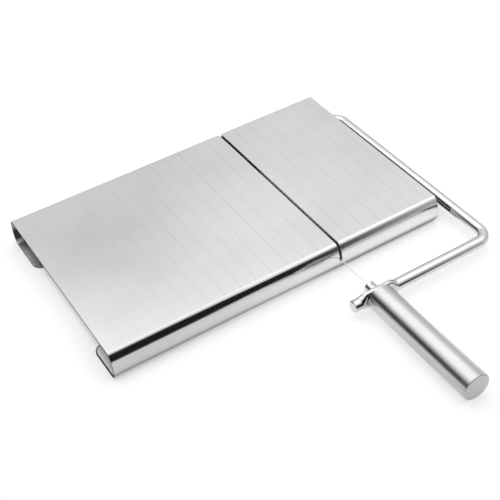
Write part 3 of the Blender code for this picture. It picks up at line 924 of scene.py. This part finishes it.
# %% Stud with its slotted head and its threaded shank
STUD_EDGE = 0.00025
THREAD_PITCH = 0.0008
THREAD_DEPTH = 0.00035
THREAD_START = 0.003
head_y = stud_high.y - STUD_HEAD_LENGTH
head_radius = (stud_high.z - stud_low.z) / 2
shank_end = stud_low.y


def stud():
    shank = STUD_DIAMETER / 2
    length = head_y - shank_end
    crests = int((length - THREAD_START) / THREAD_PITCH)
    profile = [(0, STUD_HEAD_LENGTH), (head_radius, STUD_HEAD_LENGTH), (head_radius, 0), (shank, 0)]
    profile = rounded(profile, STUD_EDGE)
    for crest in range(crests):
        start = -THREAD_START - crest * THREAD_PITCH
        profile += [(shank, start), (shank - THREAD_DEPTH, start - THREAD_PITCH / 2)]
    profile += [(shank - THREAD_DEPTH, -length), (0, -length)]
    piece = turned_piece("stud", profile, Vector((wire_x, head_y, axle_z)))
    pocket_half = BARREL_DIAMETER / 2 + SEAT_GAP
    pocket_rear = stud_high.y - STUD_HEAD_WALL
    pocket_front = pocket_rear - BARREL_LENGTH - 2 * SEAT_GAP
    bottom = axle_z - head_radius - CUT_OVERRUN
    slit_half = wire_radius + SEAT_GAP
    pocket = box_tool((wire_x - pocket_half, pocket_front, bottom),
                      (wire_x + pocket_half, pocket_rear, axle_z + pocket_half))
    slit = box_tool((wire_x - slit_half, (pocket_front + pocket_rear) / 2, bottom),
                    (wire_x + slit_half, stud_high.y + CUT_OVERRUN, axle_z + head_radius + CUT_OVERRUN))
    cut_away(piece, [pocket, slit])
    finish_piece(piece, turned_stud_material, "polished_steel", "tensioner", "tension_stud")


stud()

# %% Wire
WIRE_SIDES = 24


def wire():
    angles = [2 * math.pi * index / WIRE_SIDES for index in range(WIRE_SIDES)]
    rows = [[(wire_x + wire_radius * math.cos(angle), y, axle_z + wire_radius * math.sin(angle))
             for angle in angles]
            for y in (wire_low.y, wire_high.y)]
    piece = grid_mesh("wire", rows, solid=True)
    finish_piece(piece, drawn_wire_material, "wire_steel", "tensioner", "cutting_wire")


wire()

# %% [markdown]
# ## The pieces that stay as solids
# The lugs, rings, barrels and the insert sit under the board or inside other pieces. Their solids
# already have the right shape, so they only get a finish.

# %% Paint the solids
SOLID_FINISHES = {
    "hinge_lug_inner": pressed_lug_material,
    "hinge_lug_outer": pressed_lug_material,
    "axle_ring_inner": spring_ring_material,
    "axle_ring_outer": spring_ring_material,
    "wire_barrel_front": brass_material,
    "wire_barrel_rear": brass_material,
    "handle_thread_insert": brass_material,
}
for node_name, material in SOLID_FINISHES.items():
    for material_slot in frame["nodes"][node_name].material_slots:
        material_slot.material = material
print("painted:", ", ".join(SOLID_FINISHES))

# %% [markdown]
# ## Floor, lights and dark cards
# Polished metal has no colour of its own: it shows what stands around it. The studio is white, but
# the metal mirrors it greyer towards the horizon. A broad lamp overhead lights the pale floor and
# lays the shadows. The floor also glows for the rays that look at it. The camera sees it nearly
# white round the board's outline. The metal mirrors it greyer, brighter towards the right and
# brightest under the board's left end.
#
# In the lamp's place the metal mirrors a panel. It is brighter to the front than to the rear,
# dimmed above the board and shaded by a grey flag behind its middle, so the flat top runs from
# bright to grey. On its own all that white would make the steel look like paper. So there are dark
# cards: a front card, for the dark band along the board's front edge and under the bar, and a
# curved left card, for the bands on the handle and the arm. Their edges fade, so that the bands end
# softly. Only mirrored rays find the panel and the cards, and nothing samples them as lamps.

# %% Which rays look
def looking(graph):
    """1 for rays from the camera, in a mirror or through glass, and 0 for diffuse light."""
    camera, glossy, transmission = (graph.node("ShaderNodeLightPath", output=name)
                                    for name in ("Is Camera Ray", "Is Glossy Ray",
                                                 "Is Transmission Ray"))
    return camera.larger(glossy).larger(transmission)


def only_mirrored(stand):
    """Let only mirrored rays see this piece of the studio."""
    stand.visible_camera = False
    stand.visible_diffuse = False
    stand.visible_shadow = False
    stand.visible_transmission = False
    stand.data.materials[0].cycles.emission_sampling = "NONE"


print("a background can be white for the rays that look at it and dimmer as a lamp")

# %% World
WORLD_LIGHT = 0.42
HORIZON_GREY = 0.62
HORIZON_BAND = (-0.1, 0.7)


def studio_world():
    world = bpy.data.worlds.new("white_studio")
    world.cycles.sampling_method = "NONE"
    bpy.context.scene.world = world
    graph = Graph(world)
    height = split_place(graph, graph.node("ShaderNodeTexCoord", output="Generated"))[2]
    camera = graph.node("ShaderNodeLightPath", output="Is Camera Ray")
    backdrop = graph.between(graph.ease(height, *HORIZON_BAND), HORIZON_GREY, 1.0)
    strength = graph.between(looking(graph), WORLD_LIGHT, backdrop).larger(camera)
    background = graph.node("ShaderNodeBackground", None,
                            {"Color": WHITE, "Strength": strength})
    graph.node("ShaderNodeOutputWorld", None, {"Surface": background})


studio_world()
print("world: white to look at, %.2f as a lamp" % WORLD_LIGHT)

# %% Floor
FLOOR_SIZE = 6.0
FLOOR_COLOUR = (0.86, 0.86, 0.86, 1.0)
CAMERA_GLOW = 0.46
MIRROR_GLOW = 0.34
CAMERA_EDGE = (-0.008, -0.001)
MIRROR_EDGE = (0.0, 0.0055)
RIGHT_GLOW = 0.36
RIGHT_GLOW_FROM_LEFT = (-0.10, 0.08)
RIGHT_GLOW_FROM_FRONT = (-0.09, -0.03)
UNDER_LEFT_GLOW = 0.9
UNDER_LEFT_REACH = (0.08, 0.16)


def past_outline(graph, x, y):
    """How far a place on the floor lies outside the board's outline, below 0 under the board."""
    past_end = abs(x - board_middle.x) - board_length / 2
    return past_end.larger(abs(y - board_middle.y) - board_width / 2)


def mirror_glow(graph, where):
    """How brightly the floor shows in the metal: more to the right, and most under the left end."""
    x, y, _ = split_place(graph, where)
    past = past_outline(graph, x, y)
    right = graph.ease(x, *RIGHT_GLOW_FROM_LEFT) * graph.ease(y, *RIGHT_GLOW_FROM_FRONT)
    outside = (MIRROR_GLOW + right * RIGHT_GLOW) * graph.ease(past, *MIRROR_EDGE)
    under_left = (1 - graph.ease(x - board_low.x, *UNDER_LEFT_REACH)) * (past < 0.0)
    return outside + under_left * UNDER_LEFT_GLOW


def pale_floor():
    half = FLOOR_SIZE / 2
    rows = [[(-half, -half, 0), (half, -half, 0)], [(-half, half, 0), (half, half, 0)]]
    floor = grid_mesh("floor", rows, solid=False)
    material, graph = new_material("pale_floor")
    where = places(graph)
    camera = graph.node("ShaderNodeLightPath", output="Is Camera Ray")
    x, y, _ = split_place(graph, where)
    seen = graph.ease(past_outline(graph, x, y), *CAMERA_EDGE) * CAMERA_GLOW
    strength = graph.between(camera, mirror_glow(graph, where), seen) * looking(graph)
    matt = graph.node("ShaderNodeBsdfDiffuse", None, {"Color": FLOOR_COLOUR})
    glow = graph.node("ShaderNodeEmission", None,
                      {"Color": WHITE, "Strength": strength})
    both = graph.node("ShaderNodeAddShader", None, {0: matt, 1: glow})
    graph.node("ShaderNodeOutputMaterial", None, {"Surface": both})
    material.cycles.emission_sampling = "NONE"
    floor.data.materials.append(material)


pale_floor()
print("floor: %.0f m square" % FLOOR_SIZE)

# %% Overhead lamp
LAMP_HEIGHT = 1.1
LAMP_LENGTH = 1.5
LAMP_DEPTH = 1.5
LAMP_MIDDLE = (0.1, 0.15)
LAMP_POWER = 5.6


def overhead_lamp():
    """The lamp that lights the floor and lays the shadows."""
    lamp_data = bpy.data.lights.new("overhead_lamp", "AREA")
    lamp_data.shape = "RECTANGLE"
    lamp_data.size = LAMP_LENGTH
    lamp_data.size_y = LAMP_DEPTH
    lamp_data.energy = LAMP_POWER
    lamp = bpy.data.objects.new("overhead_lamp", lamp_data)
    lamp.location = (*LAMP_MIDDLE, LAMP_HEIGHT)
    lamp.visible_glossy = False
    bpy.context.scene.collection.objects.link(lamp)


overhead_lamp()
print("overhead lamp: %.1f x %.1f m" % (LAMP_LENGTH, LAMP_DEPTH))

# %% Sheets that only the metal sees
def mirrored_sheet(name, rows, mask_of, glow_of):
    """A sheet that shows in the metal alone. Its mask is 0 where the sheet is clear."""
    sheet = grid_mesh(name, rows, solid=False)
    material, graph = new_material(name)
    where = places(graph)
    clear = graph.node("ShaderNodeBsdfTransparent")
    glow = graph.node("ShaderNodeEmission", None, {"Strength": glow_of(graph, where)})
    mask = mask_of(graph, *split_place(graph, where))
    mixed = graph.node("ShaderNodeMixShader", None, {0: mask, 1: clear, 2: glow})
    graph.node("ShaderNodeOutputMaterial", None, {"Surface": mixed})
    sheet.data.materials.append(material)
    only_mirrored(sheet)


print("a mask lets the studio show again towards the edges of a sheet")

# %% Overhead panel
PANEL_LEFT = -0.9
PANEL_RIGHT = 1.5
PANEL_FRONT = -0.7
PANEL_REAR = 1.9
SIDE_FADE = 0.6
FRONT_FADE = 0.16
REAR_FADE = 0.4
PANEL_FRONT_GLOW = 1.7
PANEL_MIDDLE_GLOW = 1.12
PANEL_REAR_GLOW = 0.98
FRONT_TO_MIDDLE = (0.86, 1.10)
MIDDLE_TO_REAR = (1.25, 1.45)
SLANT = 0.3
RIGHT_STEP = 0.4
RIGHT_STEP_BAND = (0.55, 0.85)
FLAG_MIDDLE = (0.33, 1.26)
FLAG_EDGE = (0.03, 0.27)
FLAG_SHADE = 0.44
ABOVE_BOARD_SHADE = 0.40
ABOVE_BOARD_RIGHT = (0.30, 0.50)
ABOVE_BOARD_REAR = (0.08, 0.22)


def panel_mask(graph, x, y, z):
    """1 on the panel, fading to 0 at its four edges."""
    sides = graph.ease(x - PANEL_LEFT, 0.0, SIDE_FADE) * graph.ease(PANEL_RIGHT - x, 0.0, SIDE_FADE)
    return sides * graph.ease(y - PANEL_FRONT, 0.0, FRONT_FADE) * graph.ease(PANEL_REAR - y, 0.0, REAR_FADE)


def panel_glow(graph, where):
    """How bright the panel is: most at the front, less to the rear, at the flag and above the board."""
    x, y, _ = split_place(graph, where)
    slanted = y + (x - FLAG_MIDDLE[0]) * SLANT + graph.ease(x, *RIGHT_STEP_BAND) * RIGHT_STEP
    front = graph.between(graph.ease(slanted, *FRONT_TO_MIDDLE), PANEL_FRONT_GLOW, PANEL_MIDDLE_GLOW)
    rear = graph.between(graph.ease(y, *MIDDLE_TO_REAR), 0.0, PANEL_MIDDLE_GLOW - PANEL_REAR_GLOW)
    from_flag = graph.node("ShaderNodeVectorMath", {"operation": "DISTANCE"},
                           {0: where, 1: (*FLAG_MIDDLE, LAMP_HEIGHT)}, output="Value")
    flag = 1 - graph.ease(from_flag, *FLAG_EDGE)
    above_board = (1 - graph.ease(x, *ABOVE_BOARD_RIGHT)) * (1 - graph.ease(y, *ABOVE_BOARD_REAR))
    return (front - rear) * ((1 - flag * FLAG_SHADE) * (1 - above_board * ABOVE_BOARD_SHADE))


panel_rows = [[(x, y, LAMP_HEIGHT) for x in (PANEL_LEFT, PANEL_RIGHT)]
              for y in (PANEL_FRONT, PANEL_REAR)]
mirrored_sheet("overhead_panel", panel_rows, panel_mask, panel_glow)
print("overhead panel: %.1f x %.1f m" % (PANEL_RIGHT - PANEL_LEFT, PANEL_REAR - PANEL_FRONT))

# %% Front card, whose foot lies on the floor in front of the board
FRONT_CARD_Y = -0.155
FRONT_CARD_FOOT_Y = -0.094
FRONT_CARD_LEFT = -0.17
FRONT_CARD_RIGHT = 0.42
FRONT_CARD_HEIGHT = 0.40
FRONT_CARD_RIGHT_HEIGHT = 0.18
FRONT_LEFT_EDGE = (-0.16, -0.10)
FRONT_RIGHT_EDGE = (0.06, 0.24)
FRONT_HEIGHT_STEP = (-0.05, 0.08)
FRONT_TOP_FADE = 0.14
CARD_FOOT_LIFT = 0.0006
CARD_FOOT_LEVEL = 0.001
CARD_FOOT_FADE = 0.03
CARD_FOOT_RIGHT_EDGE = (0.08, 0.22)
CARD_FOOT_FROM_WIRE = (0.015, 0.05)
CARD_GLOW = 0.012


def card_glow(graph, where):
    """A card is almost black all over."""
    return CARD_GLOW


def front_mask(graph, x, y, z):
    """The standing card, higher at the left, and its foot, which is clear round the handle."""
    sides = graph.ease(x, *FRONT_LEFT_EDGE) * (1 - graph.ease(x, *FRONT_RIGHT_EDGE))
    top = graph.between(graph.ease(x, *FRONT_HEIGHT_STEP), FRONT_CARD_HEIGHT, FRONT_CARD_RIGHT_HEIGHT)
    below_top = 1 - graph.ease(z - top, -FRONT_TOP_FADE, 0.0)
    foot = 1 - graph.ease(y, FRONT_CARD_FOOT_Y - CARD_FOOT_FADE, FRONT_CARD_FOOT_Y)
    off_wire = graph.ease(abs(x - wire_x), *CARD_FOOT_FROM_WIRE)
    foot_part = (1 - graph.ease(x, *CARD_FOOT_RIGHT_EDGE)) * off_wire
    foot_end = 1 - (1 - foot_part) * (z < CARD_FOOT_LEVEL)
    return sides * below_top * foot * foot_end


front_line = [(FRONT_CARD_FOOT_Y, CARD_FOOT_LIFT), (FRONT_CARD_Y, CARD_FOOT_LIFT),
              (FRONT_CARD_Y, FRONT_CARD_HEIGHT)]
front_rows = [[(FRONT_CARD_LEFT, y, z), (FRONT_CARD_RIGHT, y, z)] for y, z in front_line]
mirrored_sheet("front_card", front_rows, front_mask, card_glow)
print("front card: %.2f m in front of the board" % (board_low.y - FRONT_CARD_Y))

# %% Left card, curved round the left and the rear left
LEFT_CARD_RADIUS = 0.33
LEFT_CARD_CENTRE = (-0.05, 0.05)
LEFT_CARD_HEIGHT = 0.6
LEFT_CARD_START = math.radians(-165)
LEFT_CARD_END = math.radians(-85)
LEFT_CARD_STEPS = 32
LEFT_CARD_FADE = (0.19, 0.45)


def left_mask(graph, x, y, z):
    """Dark below, and clear towards the top."""
    return 1 - graph.ease(z, *LEFT_CARD_FADE)


left_rows = []
for height in (0.0, LEFT_CARD_HEIGHT):
    left_rows.append([(LEFT_CARD_CENTRE[0] + LEFT_CARD_RADIUS * across,
                       LEFT_CARD_CENTRE[1] - LEFT_CARD_RADIUS * along, height)
                      for along, across in arc((0, 0), 1.0, LEFT_CARD_START, LEFT_CARD_END,
                                               LEFT_CARD_STEPS)])
mirrored_sheet("left_card", left_rows, left_mask, card_glow)
print("left card: %.2f m high" % LEFT_CARD_HEIGHT)

# %% [markdown]
# ## Camera
# The camera looks down on the board from the front left, with a longer lens, as in the
# photograph. Its place was found by lining up the board's corners, its slot, the bow and the handle
# with the picture.

# %% Camera
CAMERA_PLACE = (-0.21884, -0.35849, 0.40745)
CAMERA_TURN = (47.608, 3.541, -32.134)
CAMERA_LENS = 75.053
CAMERA_SENSOR = 36
CAMERA_SHIFT = (-0.001, 0.001)
camera_data = bpy.data.cameras.new("camera")
camera_data.sensor_width = CAMERA_SENSOR
camera_data.lens = CAMERA_LENS
camera_data.shift_x, camera_data.shift_y = CAMERA_SHIFT
camera = bpy.data.objects.new("camera", camera_data)
camera.location = CAMERA_PLACE
camera.rotation_euler = [math.radians(angle) for angle in CAMERA_TURN]
bpy.context.scene.collection.objects.link(camera)
bpy.context.scene.camera = camera
bpy.context.scene.view_settings.view_transform = "Standard"
print("camera: %.0f mm lens" % CAMERA_LENS)
